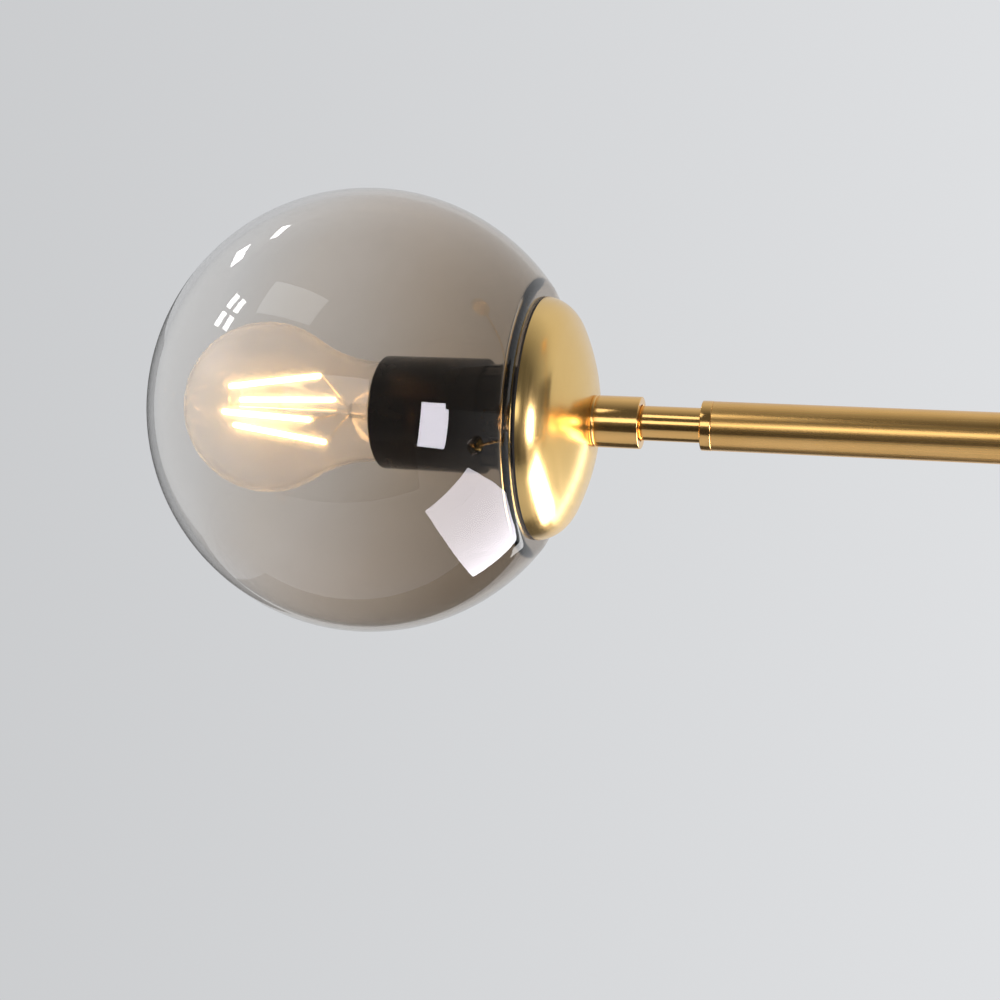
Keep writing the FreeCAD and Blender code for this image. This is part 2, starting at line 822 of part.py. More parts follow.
def all_pieces():
    pieces = {name: make() for name, make in FRAME_PIECES.items()}
    for side, compass, rise in BOUGHS:
        pieces[f"bough_{side}"] = bough(compass, rise)
        pieces[f"node_{side}"] = node_post(side)
    pieces["pivot_bolts"] = at_hinges(pivot_bolt)
    pieces["pivot_nuts"] = at_hinges(pivot_nut)
    for name, make in ARM_PIECES.items():
        piece = make()
        for arm in ARMS:
            pieces[f"arm_{arm[0]}_{name}"] = on_arm(piece, arm)
    return pieces


os.makedirs("parts", exist_ok=True)
for name, shape in all_pieces().items():
    shape.exportStep(f"parts/{name}.step")
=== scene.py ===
# The looks of a branch chandelier: satin and polished brass, smoked globes and lit filament bulbs.
#
# Metres, +Z up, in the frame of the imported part. Every piece on an arm is made once on the line of
# that arm, where the middle of the globe is the zero and +X runs to the hinge, and is then shown on
# each of the three arms. "Place" means a distance along that line.
import bpy
import json
import math
from mathutils import Matrix, Vector


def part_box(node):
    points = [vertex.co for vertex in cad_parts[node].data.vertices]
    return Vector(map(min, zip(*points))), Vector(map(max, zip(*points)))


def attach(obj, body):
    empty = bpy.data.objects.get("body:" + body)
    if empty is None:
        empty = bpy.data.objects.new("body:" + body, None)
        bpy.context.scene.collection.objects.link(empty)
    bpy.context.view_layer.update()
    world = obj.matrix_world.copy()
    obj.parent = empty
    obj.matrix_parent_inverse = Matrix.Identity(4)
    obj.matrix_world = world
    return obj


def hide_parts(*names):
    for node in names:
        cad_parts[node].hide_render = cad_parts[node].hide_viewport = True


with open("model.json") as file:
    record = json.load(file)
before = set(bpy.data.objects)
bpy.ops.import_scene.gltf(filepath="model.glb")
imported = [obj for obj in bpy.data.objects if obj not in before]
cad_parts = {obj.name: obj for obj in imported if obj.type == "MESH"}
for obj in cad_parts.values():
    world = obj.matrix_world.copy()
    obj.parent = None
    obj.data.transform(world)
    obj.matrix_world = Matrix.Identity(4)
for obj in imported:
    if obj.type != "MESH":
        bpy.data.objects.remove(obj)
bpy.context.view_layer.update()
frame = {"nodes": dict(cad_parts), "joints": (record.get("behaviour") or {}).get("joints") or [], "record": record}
bpy.context.scene.view_settings.view_transform = "Standard"

ARM_NUMBERS = (1, 2, 3)
LINE = "arm_line"
MM = 0.001

# ---- Sizes that a node's box does not give ------------------------------------------------------
globe_wall = 2.2 * MM
globe_lip_thickness = 3.0 * MM
globe_edge_round = 1.1 * MM
globe_steps = 110
dish_wall = 1.2 * MM
dish_skirt = 2.35 * MM
dish_rise = 19.4 * MM
dish_shoulder_radius = 13.0 * MM
globe_hole_radius = 36.0 * MM
seal_plug_radius = 35.6 * MM
seal_bore_radius = 33.2 * MM
seal_nose = 0.8 * MM
thread_radius = 5.0 * MM
thread_hole_radius = 5.05 * MM
spigot_radius = 6.95 * MM
collar_recess = 6.5 * MM
collar_recess_gap = 0.3 * MM
rubber_edge = 0.2 * MM
metal_edge = 0.3 * MM
seam_start = 1.1 * MM
seam_depth = 0.25 * MM
seam_width = 0.35 * MM
tube_wall = 1.0 * MM
neck_radius = 5.7 * MM
cap_ring_length = 3.55 * MM
wire_way_radius = 2.8 * MM
holder_mouth_radius = 17.7 * MM
holder_wall = 5.4 * MM
holder_draft = 0.12 * MM
holder_edge = 0.5 * MM
holder_rim_width = 1.0 * MM
holder_rim_slope = 0.6 * MM
holder_back_slope = 1.0 * MM
holder_back_drop = 0.9 * MM
holder_rebate_width = 3.0 * MM
holder_rebate_depth = 4.0 * MM
holder_throat_start = 4.0 * MM
holder_throat_end = 8.0 * MM
bulb_neck_radius = 17.0 * MM
bulb_neck_run = 70.3 * MM
bulb_wall = 0.8 * MM
bulb_spigot_radius = 12.3 * MM
filament_count = 4
filament_radius = 0.95 * MM
filament_length = 35.5 * MM
filament_tip_reach = 7.0 * MM
filament_base_reach = 12.0 * MM
filament_tip_inset = 14.8 * MM
filament_first_angle = 20.0


# ---- Where the arms are ------------------------------------------------------------------------
def joint(name):
    return next(j for j in frame["joints"] if j["name"] == name)


def arm_matrix(number):
    """Carries the arm's own line to where that arm is at rest."""
    middle = Vector(joint(f"bulb_{number}_turn")["pos_m"])
    outward = Vector(joint(f"globe_{number}_pull")["axis"]).normalized()
    compass = math.atan2(outward.y, outward.x)
    rise = math.asin(outward.z)
    turn = Matrix.Rotation(compass - math.pi, 4, "Z") @ Matrix.Rotation(rise, 4, "Y")
    return Matrix.Translation(middle) @ turn


ARM_MATRIX = {number: arm_matrix(number) for number in ARM_NUMBERS}
globe_middle = ARM_MATRIX[1].translation.copy()


def span(piece):
    """Start place, end place and radius of a turned piece, from its box on the level first arm."""
    low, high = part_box(f"arm_1_{piece}")
    return low.x - globe_middle.x, high.x - globe_middle.x, high.y - globe_middle.y


# ---- Objects and the camera --------------------------------------------------------------------
def add_object(name, data, matrix=Matrix.Identity(4)):
    """An object of the scene, with its place and turn."""
    made = bpy.data.objects.new(name, data)
    bpy.context.scene.collection.objects.link(made)
    made.matrix_world = matrix
    return made


camera_offset = Vector((0.1869, -0.5153, -0.0200))
camera_right = Vector((0.96352, 0.26235, 0.05286))
camera_up = Vector((-0.05478, 0.0, 0.9985))
camera_back = Vector((0.26195, -0.96497, 0.01437))


def add_camera():
    data = bpy.data.cameras.new("camera")
    data.sensor_width = 36.0
    data.lens = 57.6
    data.clip_start = 0.01
    turn = Matrix((camera_right, camera_up, camera_back)).transposed().to_4x4()
    place = Matrix.Translation(globe_middle + camera_offset)
    bpy.context.scene.camera = add_object("camera", data, place @ turn)


# ---- Node helpers ------------------------------------------------------------------------------
class Nodes:
    """A short way to write node trees: add() makes a node, and its inputs take values or sockets.

    The other methods return the socket that carries their node's result.
    """

    def __init__(self, tree):
        self.tree = tree
        tree.nodes.clear()

    def add(self, kind, inputs=None, **settings):
        node = self.tree.nodes.new(kind)
        for name, value in settings.items():
            setattr(node, name, value)
        for key, value in (inputs or {}).items():
            self.put(node, key, value)
        return node

    def put(self, node, key, value):
        socket = node.inputs[key]
        if isinstance(value, bpy.types.NodeSocket):
            self.tree.links.new(value, socket)
        else:
            socket.default_value = value

    def noise(self, coordinates, scale, detail=3.0, roughness=0.5):
        node = self.add("ShaderNodeTexNoise", {
            "Vector": coordinates, "Scale": scale, "Detail": detail, "Roughness": roughness,
        })
        return node.outputs["Fac"]

    def scaled(self, coordinates, scale):
        node = self.add("ShaderNodeMapping", {"Vector": coordinates, "Scale": scale})
        return node.outputs["Vector"]

    def object_coordinates(self):
        return self.add("ShaderNodeTexCoord").outputs["Object"]

    def line_coordinates(self):
        """Where a point of a piece lies on its arm's own line, whichever arm shows it."""
        return self.add("ShaderNodeAttribute", attribute_name=LINE).outputs["Vector"]

    def spread(self, value, low, high, start, end):
        """Maps a value from start..end to low..high."""
        node = self.add("ShaderNodeMapRange", {
            "Value": value, "From Min": start, "From Max": end, "To Min": low, "To Max": high,
        })
        return node.outputs["Result"]

    def ramp(self, value, *stops):
        node = self.add("ShaderNodeValToRGB", {"Fac": value})
        while len(node.color_ramp.elements) < len(stops):
            node.color_ramp.elements.new(0.5)
        for element, (position, colour) in zip(node.color_ramp.elements, stops):
            element.position = position
            element.color = (*colour, 1.0)
        return node.outputs["Color"]

    def bump(self, height, distance):
        node = self.add("ShaderNodeBump", {"Height": height, "Distance": distance})
        return node.outputs["Normal"]

    def maths(self, operation, *values):
        node = self.add("ShaderNodeMath", dict(enumerate(values)), operation=operation)
        return node.outputs["Value"]

    def principled(self, inputs):
        return self.add("ShaderNodeBsdfPrincipled", inputs).outputs["BSDF"]

    def mixed(self, share, first, second):
        """The first shader, with that share of the second."""
        return self.add("ShaderNodeMixShader", {0: share, 1: first, 2: second}).outputs["Shader"]

    def finish(self, shader):
        self.add("ShaderNodeOutputMaterial", {"Surface": shader})


def material(name, build, **options):
    """A material whose node tree is written by the build function."""
    made = bpy.data.materials.new(name)
    made.use_nodes = True
    build(Nodes(made.node_tree), **options)
    return made


def rgb(red, green, blue):
    """A colour as a socket takes it."""
    return (red, green, blue, 1.0)


# ---- Materials ---------------------------------------------------------------------------------
GLASS_IOR = 1.47
# Most of a noise's values lie between these two.
NOISE_LOW = 0.3
NOISE_HIGH = 0.7


def brass(nodes, tone, dark_tone, low, high, grain, grain_depth, on_line=True):
    """Metal with fine marks stretched along one direction, given as texture scales."""
    where = nodes.line_coordinates() if on_line else nodes.object_coordinates()
    marks = nodes.noise(nodes.scaled(where, grain), scale=1.0, detail=6.0, roughness=0.65)
    clouds = nodes.noise(where, scale=38.0)
    nodes.finish(nodes.principled({
        "Base Color": nodes.ramp(clouds, (0.3, dark_tone), (0.72, tone)),
        "Metallic": 1.0,
        "Roughness": nodes.spread(marks, low, high, NOISE_LOW, NOISE_HIGH),
        "Normal": nodes.bump(marks, grain_depth),
    }))


def glassy(nodes, stops, glow=0.0, fall=0.0):
    """Glass whose tint runs along the arm's line, through stops of a place and a tone.

    With fall the tint also deepens downwards. With glow that share of the glass is slightly rough,
    which spreads light round a lit thing behind it. Shadow rays pass with the tint, so that the
    lamps reach what is inside.
    """
    where = nodes.line_coordinates()
    parts = nodes.add("ShaderNodeSeparateXYZ", {"Vector": where}).outputs
    stretched = nodes.scaled(where, (12.0, 30.0, 30.0))
    streaks = nodes.noise(stretched, scale=1.0, detail=2.0, roughness=0.4)
    first, last = stops[0][0], stops[-1][0]
    along = nodes.maths("MULTIPLY_ADD", parts["Z"], -fall, parts["X"])
    share = nodes.spread(along, 0.0, 1.0, first, last)
    # The streaks lie about a half, so they move the share up by half of what they may add.
    waver = 0.12
    shift = waver / 2
    marks = [((stop - first) / (last - first) * (1 - shift) + shift, tone) for stop, tone in stops]
    tint = nodes.ramp(nodes.maths("MULTIPLY_ADD", streaks, waver, share), *marks)

    def of_roughness(roughness):
        return nodes.principled({
            "Base Color": tint,
            "Roughness": roughness,
            "IOR": GLASS_IOR,
            "Transmission Weight": 1.0,
        })

    glass = of_roughness(0.0)
    if glow:
        glass = nodes.mixed(glow, glass, of_roughness(0.32))
    clear = nodes.add("ShaderNodeBsdfTransparent", {"Color": tint}).outputs["BSDF"]
    shadow_ray = nodes.add("ShaderNodeLightPath").outputs["Is Shadow Ray"]
    nodes.finish(nodes.mixed(shadow_ray, glass, clear))


def moulded(nodes, tone, low, high, grain_scale, grain_depth, shine=0.5):
    """Moulded plastic, rubber or ceramic with a fine grain and faint dust-like clouds."""
    where = nodes.object_coordinates()
    grain = nodes.noise(where, grain_scale, detail=4.0, roughness=0.6)
    clouds = nodes.noise(where, scale=60.0)
    paler = [channel * 1.35 + 0.004 for channel in tone]
    nodes.finish(nodes.principled({
        "Base Color": nodes.ramp(clouds, (0.35, tone), (0.8, paler)),
        "Roughness": nodes.spread(clouds, low, high, NOISE_LOW, NOISE_HIGH),
        "Specular IOR Level": shine,
        "Normal": nodes.bump(grain, grain_depth),
    }))


def glowing(nodes, tone, strength):
    """The lit phosphor of a filament, with fine grains."""
    grains = nodes.noise(nodes.object_coordinates(), scale=1400.0)
    tones = (NOISE_LOW, (1.0, 0.62, 0.2)), (NOISE_HIGH, (1.0, 0.74, 0.34))
    nodes.finish(nodes.principled({
        "Base Color": nodes.ramp(grains, *tones),
        "Roughness": 0.6,
        "Emission Color": rgb(*tone),
        "Emission Strength": strength,
    }))


BRASS = (0.87, 0.53, 0.19)
BRASS_DARK = (0.81, 0.475, 0.155)
# Scales of the marks: small along the way they run, and large across it.
ALONG_X = (6.0, 1500.0, 1500.0)
ALONG_Z = (1500.0, 1500.0, 6.0)
AROUND_X = (2200.0, 60.0, 60.0)
SATIN = {"tone": BRASS, "dark_tone": BRASS_DARK, "low": 0.22, "high": 0.31, "grain_depth": 4e-6}
# What builds each material, and its options.
LOOKS = {
    "arm_brass": (brass, dict(SATIN, grain=ALONG_X)),
    "turned_brass": (brass, dict(
        tone=BRASS, dark_tone=BRASS_DARK, low=0.13, high=0.19, grain=AROUND_X, grain_depth=1e-6,
    )),
    "stem_brass": (brass, dict(SATIN, grain=ALONG_Z, on_line=False)),
    "dish_brass": (brass, dict(
        tone=(0.82, 0.56, 0.215), dark_tone=(0.79, 0.525, 0.19), low=0.19, high=0.27,
        grain=AROUND_X, grain_depth=2e-6,
    )),
    "raw_brass": (brass, dict(
        tone=(0.70, 0.50, 0.24), dark_tone=(0.60, 0.41, 0.18), low=0.22, high=0.38,
        grain=(300.0, 300.0, 300.0), grain_depth=5e-6, on_line=False,
    )),
    "smoked_glass": (glassy, dict(stops=(
        (-0.075, (0.985, 0.98, 0.97)),
        (-0.03, (0.90, 0.88, 0.86)),
        (0.0, (0.79, 0.725, 0.655)),
        (0.06, (0.47, 0.40, 0.325)),
    ), fall=0.2)),
    "clear_glass": (glassy, dict(stops=(
        (-0.07, (0.985, 0.98, 0.975)),
        (0.03, (0.97, 0.96, 0.95)),
    ), glow=0.16)),
    "stem_glass": (glassy, dict(stops=(
        (-0.05, (0.98, 0.95, 0.90)),
        (0.02, (0.96, 0.90, 0.80)),
    ))),
    "black_phenolic": (moulded, dict(
        tone=(0.004, 0.003, 0.0025), low=0.2, high=0.3, grain_scale=700.0, grain_depth=1e-5,
        shine=0.32,
    )),
    "black_rubber": (moulded, dict(
        tone=(0.012, 0.012, 0.013), low=0.45, high=0.6, grain_scale=1500.0, grain_depth=2e-5,
    )),
    "ceramic": (moulded, dict(
        tone=(0.78, 0.75, 0.69), low=0.25, high=0.4, grain_scale=900.0, grain_depth=1e-5,
    )),
    "white_plastic": (moulded, dict(
        tone=(0.76, 0.76, 0.73), low=0.35, high=0.5, grain_scale=900.0, grain_depth=1e-5,
    )),
    "nickel": (brass, dict(
        tone=(0.66, 0.63, 0.58), dark_tone=(0.58, 0.55, 0.50), low=0.18, high=0.32,
        grain=AROUND_X, grain_depth=5e-6,
    )),
    "zinc": (brass, dict(
        tone=(0.58, 0.60, 0.62), dark_tone=(0.47, 0.48, 0.50), low=0.3, high=0.5,
        grain=(90.0, 90.0, 90.0), grain_depth=2e-5, on_line=False,
    )),
    "lit_filament": (glowing, dict(tone=(1.0, 0.66, 0.30), strength=110.0)),
}
MATERIALS = {name: material(name, build, **options) for name, (build, options) in LOOKS.items()}


# ---- Meshes ------------------------------------------------------------------------------------
def arc(middle, radius, start, end, steps):
    """Points of an arc in the (place, radius) plane, from one angle to another in degrees."""
    points = []
    for n in range(steps + 1):
        turn = math.radians(start + (end - start) * n / steps)
        points.append((middle[0] + radius * math.cos(turn), middle[1] + radius * math.sin(turn)))
    return points


def softened(points, edge, steps=3, closed=True):
    """The outline with every corner rounded by a small curve. An open one keeps its two ends."""
    result = []
    count = len(points)
    # Less than half a side, so that the cuts at its two ends never meet.
    most = 0.45
    for n, here in enumerate(points):
        before, after = points[n - 1], points[(n + 1) % count]
        if not closed and n in (0, count - 1):
            result.append(here)
            continue
        back = Vector((before[0] - here[0], before[1] - here[1]))
        ahead = Vector((after[0] - here[0], after[1] - here[1]))
        cut = min(edge, back.length * most, ahead.length * most)
        start = Vector(here) + back.normalized() * cut
        end = Vector(here) + ahead.normalized() * cut
        for step in range(steps + 1):
            share = step / steps
            bend = Vector(here) * 2 * share * (1 - share)
            point = start * (1 - share) ** 2 + bend + end * share ** 2
            result.append((point.x, point.y))
    return result


def turned(name, outline, segments=96, closed=True):
    """A mesh made by turning an outline of (place, radius) points about X, with poles on X."""
    vertices = []
    rings = []
    for place, radius in outline:
        if radius == 0:
            rings.append([len(vertices)])
            vertices.append((place, 0.0, 0.0))
            continue
        ring = []
        for n in range(segments):
            turn = 2 * math.pi * n / segments
            ring.append(len(vertices))
            vertices.append((place, radius * math.cos(turn), radius * math.sin(turn)))
        rings.append(ring)
    faces = []
    following = rings[1:] + rings[:1] if closed else rings[1:]
    for first, second in zip(rings, following):
        for n in range(segments):
            after = (n + 1) % segments
            if len(first) == 1:
                faces.append((first[0], second[after], second[n]))
            elif len(second) == 1:
                faces.append((first[n], first[after], second[0]))
            else:
                faces.append((first[n], first[after], second[after], second[n]))
    return smooth_mesh(name, vertices, faces)


def smooth_mesh(name, vertices, faces, angle=35.0):
    mesh = bpy.data.meshes.new(name)
    mesh.from_pydata(vertices, [], faces)
    mesh.validate()
    mesh.shade_smooth()
    mesh.set_sharp_from_angle(angle=math.radians(angle))
    facing_out(mesh)
    return mesh


def facing_out(mesh):
    """Turns the faces outwards, judged by the mesh's signed volume."""
    volume = 0.0
    for face in mesh.polygons:
        corners = [mesh.vertices[index].co for index in face.vertices]
        for second, third in zip(corners[1:], corners[2:]):
            volume += corners[0].dot(second.cross(third))
    if volume < 0:
        mesh.flip_normals()


def show_on_arms(mesh, piece, node, body, material_name, slot):
    """One object per arm that stands for the arm's CAD node, with its place in its mesh."""
    mesh.materials.append(MATERIALS[material_name])
    line = mesh.attributes.new(LINE, "FLOAT_VECTOR", "POINT")
    for vertex in mesh.vertices:
        line.data[vertex.index].vector = vertex.co
    for number in ARM_NUMBERS:
        own_mesh = mesh.copy()
        own_mesh.transform(ARM_MATRIX[number])
        shown = add_object(f"{piece}_{number}", own_mesh)
        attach(shown, f"{body}_{number}")
        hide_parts(f"arm_{number}_{node}")


# ---- Globe, seal and dish ----------------------------------------------------------------------
def globe_mesh():
    """Outside, lip and inside. Both arcs stop short of the lip, where its rounding starts."""
    seat, radius = span("globe")[1:]
    hole = globe_hole_radius
    lip_radius = math.sqrt(radius ** 2 - seat ** 2)
    inner = radius - globe_wall
    ledge = seat - globe_lip_thickness
    ledge_radius = math.sqrt(inner ** 2 - ledge ** 2)
    outer_end = math.degrees(math.acos(seat / radius))
    inner_end = math.degrees(math.acos(ledge / inner))
    short = 3.5
    outside = arc((0, 0), radius, 180.0, outer_end + short, globe_steps)
    inside = arc((0, 0), inner, inner_end + short, 180.0, globe_steps)
    outside[0] = (-radius, 0.0)
    inside[-1] = (-inner, 0.0)
    lip = softened(
        [
            outside[-1], (seat, lip_radius), (seat, hole),
            (ledge, hole), (ledge, ledge_radius), inside[0],
        ],
        globe_edge_round * 2, steps=7, closed=False,
    )
    return turned("globe", outside[:-1] + lip + inside[1:], segments=180, closed=False)


def seal_mesh():
    """A plug inside the globe's hole and a flange between the globe and the dish."""
    start, end, radius = span("seal")
    seat = span("globe")[1]
    rim = span("dish")[0]
    plug, bore = seal_plug_radius, seal_bore_radius
    return turned("seal", softened([
        (start, bore), (start, plug - seal_nose), (start + seal_nose, plug), (seat, plug),
        (seat, radius), (rim, radius), (rim, plug), (end, plug), (end, bore),
    ], rubber_edge))


def dish_mesh():
    """A shoulder arc and a flatter crown arc, both set in by the wall on the inner side."""
    rim, seat, rim_radius = span("dish")
    middle = rim - dish_skirt
    rim_reach = math.sqrt(dish_shoulder_radius ** 2 - dish_skirt ** 2)
    full = rim_radius + dish_shoulder_radius - rim_reach
    crown_radius = (full ** 2 + dish_rise ** 2 - 2 * full * dish_shoulder_radius) / (
        2 * (dish_rise - dish_shoulder_radius))
    crown = middle + dish_rise - crown_radius
    join = math.degrees(math.atan2(full - dish_shoulder_radius, middle - crown))
    sides = []
    for inset in (0.0, dish_wall):
        shoulder = dish_shoulder_radius - inset
        top = crown_radius - inset
        rim_turn = math.degrees(math.acos(dish_skirt / shoulder))
        seat_turn = math.degrees(math.acos((seat - inset - crown) / top))
        points = arc((middle, full - dish_shoulder_radius), shoulder, rim_turn, join, steps=16)
        sides.append(points + arc((crown, 0.0), top, join, seat_turn, steps=28)[1:])
    outer, inner = sides
    hole = [(seat, thread_hole_radius), (seat - dish_wall, thread_hole_radius)]
    return turned("dish", outer + hole + inner[::-1], segments=144)


# ---- Collar, neck and tube ---------------------------------------------------------------------
def collar_mesh():
    """A ring with a fine seam near the dish and a recess that takes the neck's shoulder."""
    start, end, radius = span("collar")
    bore = thread_hole_radius
    recess = neck_radius + collar_recess_gap
    shoulder = end - collar_recess
    seam = start + seam_start
    return turned("collar", softened([
        (start, bore), (start, radius), (seam, radius),
        (seam + seam_width / 2, radius - seam_depth), (seam + seam_width, radius),
        (end, radius), (end, recess), (shoulder, recess), (shoulder, bore),
    ], metal_edge))


def neck_mesh():
    """Thread, neck, cap ring and the spigot inside the tube, with the wires' way through all."""
    start, end, radius = span("neck")
    tube_start = span("tube")[0]
    ring_start = tube_start - cap_ring_length
    shoulder = span("collar")[1] - collar_recess
    thread, spigot = thread_radius, spigot_radius
    return turned("neck", softened([
        (start, wire_way_radius), (start, thread), (shoulder, thread), (shoulder, neck_radius),
        (ring_start, neck_radius), (ring_start, radius), (tube_start, radius), (tube_start, spigot),
        (end, spigot), (end, wire_way_radius),
    ], metal_edge))


def tube_mesh():
    """A plain tube with its edges just broken."""
    start, end, radius = span("tube")
    return turned("tube", softened([
        (start, radius - tube_wall), (start, radius), (end, radius), (end, radius - tube_wall),
    ], metal_edge / 2))


# ---- Lampholder --------------------------------------------------------------------------------
def holder_shell_mesh():
    """A slightly tapered moulding: a mouth that narrows to the bore, and a rebate at the back."""
    start, end, radius = span("holder_shell")
    bore = radius - holder_wall
    rebate_radius = radius - holder_rebate_width
    rebate_start = end - holder_rebate_depth
    return turned("holder_shell", softened([
        (start, holder_mouth_radius),
        (start, radius - holder_rim_width),
        (start + holder_rim_slope, radius - holder_draft),
        (end - holder_back_slope, radius),
        (end, radius - holder_back_drop),
        (end, rebate_radius),
        (rebate_start, rebate_radius),
        (rebate_start, bore),
        (start + holder_throat_end, bore),
        (start + holder_throat_start, holder_mouth_radius),
    ], holder_edge), segments=120)


# ---- Bulb --------------------------------------------------------------------------------------
def bulb_outline(inset):
    """The pear-shaped section from the tip to the shoulder: ball, waist and shoulder arcs."""
    tip, end, radius = span("bulb_glass")
    ball = radius - inset
    neck = bulb_neck_radius - inset
    spigot = bulb_spigot_radius - inset
    middle = tip + radius
    run = bulb_neck_run - radius
    waist = (run ** 2 + neck ** 2 - ball ** 2) / (2 * (ball - neck))
    join_turn = math.degrees(math.atan2(neck + waist, run))
    points = arc((middle, 0.0), ball, 180.0, join_turn, steps=60)
    points[0] = (middle - ball, 0.0)
    points += arc((middle + run, neck + waist), waist, 180.0 + join_turn, 270.0, steps=24)[1:]
    shoulder_end = span("bulb_cap")[0]
    shoulder = shoulder_end - (middle + run)
    steps = 8
    for n in range(1, steps + 1):
        turn = math.pi / 2 * n / steps
        drop = (neck - spigot) * math.cos(turn)
        points.append((middle + run + shoulder * math.sin(turn), spigot + drop))
    points.append((end, spigot))
    return points


def bulb_mesh():
    """The bulb's glass: its outer outline, and the inner one one wall further in."""
    outer = bulb_outline(0.0)
    inner = bulb_outline(bulb_wall)
    return turned("bulb", outer + inner[::-1], segments=128, closed=False)


def rod_mesh(name, ends, radius):
    """Straight rods with rounded ends, given by their end points."""
    segments = 16
    caps = 4
    vertices = []
    faces = []
    for start, end in ends:
        axis = (end - start).normalized()
        side = axis.orthogonal().normalized()
        other = axis.cross(side)
        profile = []
        for n in range(1, caps + 1):
            turn = math.pi / 2 * n / caps
            profile.append((radius * (1 - math.cos(turn)), radius * math.sin(turn)))
        length = (end - start).length
        profile += [(length - place, reach) for place, reach in reversed(profile)]
        first = len(vertices)
        vertices.append(start)
        for place, reach in profile:
            for n in range(segments):
                turn = 2 * math.pi * n / segments
                away = side * math.cos(turn) + other * math.sin(turn)
                vertices.append(start + axis * place + away * reach)
        vertices.append(end)
        last = len(vertices) - 1
        for n in range(segments):
            after = (n + 1) % segments
            faces.append((first, first + 1 + after, first + 1 + n))
            base = last - segments
            faces.append((base + n, base + after, last))
            for ring in range(len(profile) - 1):
                row = first + 1 + ring * segments
                faces.append((row + n, row + after, row + segments + after, row + segments + n))
    return smooth_mesh(name, vertices, faces, angle=60.0)


def filament_ends():
    """Tip and base end of each rod: the rods lean outwards, spaced round the bulb's line."""
    tip = span("bulb_glass")[0] + filament_tip_inset
    spread = filament_base_reach - filament_tip_reach
    base = tip + math.sqrt(filament_length ** 2 - spread ** 2)
    ends = []
    for n in range(filament_count):
        turn = math.radians(filament_first_angle + 360 * n / filament_count)
        away = Vector((0.0, math.cos(turn), math.sin(turn)))
        at_tip = Vector((tip, 0, 0)) + away * filament_tip_reach
        at_base = Vector((base, 0, 0)) + away * filament_base_reach
        ends.append((at_tip, at_base))
    return ends


def filaments_mesh():
    return rod_mesh("filaments", filament_ends(), filament_radius)


# ---- Floor, world and lamps --------------------------------------------------------------------
BACKDROP = (0.655, 0.665, 0.68)
floor_level = -2.4
floor_radius = 4.0
# The floor fades out between these shares of its radius.
floor_fade = (0.45, 0.98)


def add_floor():
    mesh = turned("floor", [(0.0, 0.0), (0.0, floor_radius)], closed=False)
    level = Matrix.Translation((0, 0, floor_level)) @ Matrix.Rotation(math.radians(90), 4, "Y")
    floor = add_object("floor", mesh, level)

    def faded(nodes):
        where = nodes.object_coordinates()
        away = nodes.add("ShaderNodeVectorMath", {0: where}, operation="LENGTH").outputs["Value"]
        fade = nodes.spread(away, 0.0, 1.0, *[share * floor_radius for share in floor_fade])
        speckle = nodes.noise(where, scale=30.0)
        tones = (NOISE_LOW, (0.83, 0.835, 0.845)), (NOISE_HIGH, (0.86, 0.865, 0.875))
        shader = nodes.principled({
            "Base Color": nodes.ramp(speckle, *tones),
            "Roughness": 0.9,
            "Specular IOR Level": 0.1,
        })
        clear = nodes.add("ShaderNodeBsdfTransparent").outputs["BSDF"]
        nodes.finish(nodes.mixed(fade, shader, clear))

    mesh.materials.append(material("floor", faded))


def set_world():
    """Camera rays see the pale backdrop, and diffuse light is a plain level.

    Reflections see the backdrop too, but a darker room on the viewer's side. So does what is seen
    through glass, which makes the globes look darker from behind.
    """
    world = bpy.data.worlds.new("studio")
    bpy.context.scene.world = world
    world.use_nodes = True
    nodes = Nodes(world.node_tree)
    path = nodes.add("ShaderNodeLightPath").outputs
    seen = nodes.maths("MAXIMUM", path["Is Camera Ray"], path["Is Glossy Ray"])
    seen = nodes.maths("MAXIMUM", seen, path["Is Transmission Ray"])
    direction = nodes.add("ShaderNodeTexCoord").outputs["Generated"]
    parts = nodes.add("ShaderNodeSeparateXYZ", {"Vector": direction}).outputs
    level = nodes.spread(parts["X"], low=0.84, high=1.19, start=-0.75, end=0.25)
    room = nodes.spread(parts["Y"], low=0.14, high=1.0, start=-0.6, end=0.35)
    dimmed = nodes.maths("MULTIPLY", level, room)
    chosen = nodes.add("ShaderNodeMix", {
        "Factor": path["Is Glossy Ray"], "A": level, "B": dimmed,
    }, data_type="FLOAT").outputs["Result"]
    shown = nodes.add("ShaderNodeBackground", {"Color": rgb(*BACKDROP), "Strength": chosen})
    light = nodes.add("ShaderNodeBackground", {"Color": rgb(0.9, 0.93, 1.0), "Strength": 0.45})
    surface = nodes.mixed(seen, light.outputs["Background"], shown.outputs["Background"])
    nodes.add("ShaderNodeOutputWorld", {"Surface": surface})


def towards(azimuth, elevation):
    """A direction in degrees: azimuth 0 is -Y, the viewer's side, and 90 is +X."""
    turn, rise = math.radians(azimuth), math.radians(elevation)
    level = math.cos(rise)
    return Vector((math.sin(turn) * level, -math.cos(turn) * level, math.sin(rise)))


def facing_globe(azimuth, elevation, distance):
    """The place and turn of a flat thing that faces the first arm's globe."""
    back = towards(azimuth, elevation)
    turn = back.to_track_quat("Z", "Y").to_matrix().to_4x4()
    return Matrix.Translation(globe_middle + back * distance) @ turn


# Energy per square metre that gives an area lamp a radiance of one.
ENERGY_PER_RADIANCE = 4


def add_lamp(name, azimuth, elevation, distance, width, height, radiance, tone):
    """A soft rectangular lamp that faces the globe."""
    data = bpy.data.lights.new(name, "AREA")
    data.shape = "RECTANGLE"
    data.size = width
    data.size_y = height
    data.energy = radiance * ENERGY_PER_RADIANCE * width * height
    data.color = tone
    lamp = add_object(name, data, facing_globe(azimuth, elevation, distance))
    lamp.visible_camera = False
    lamp.visible_transmission = False


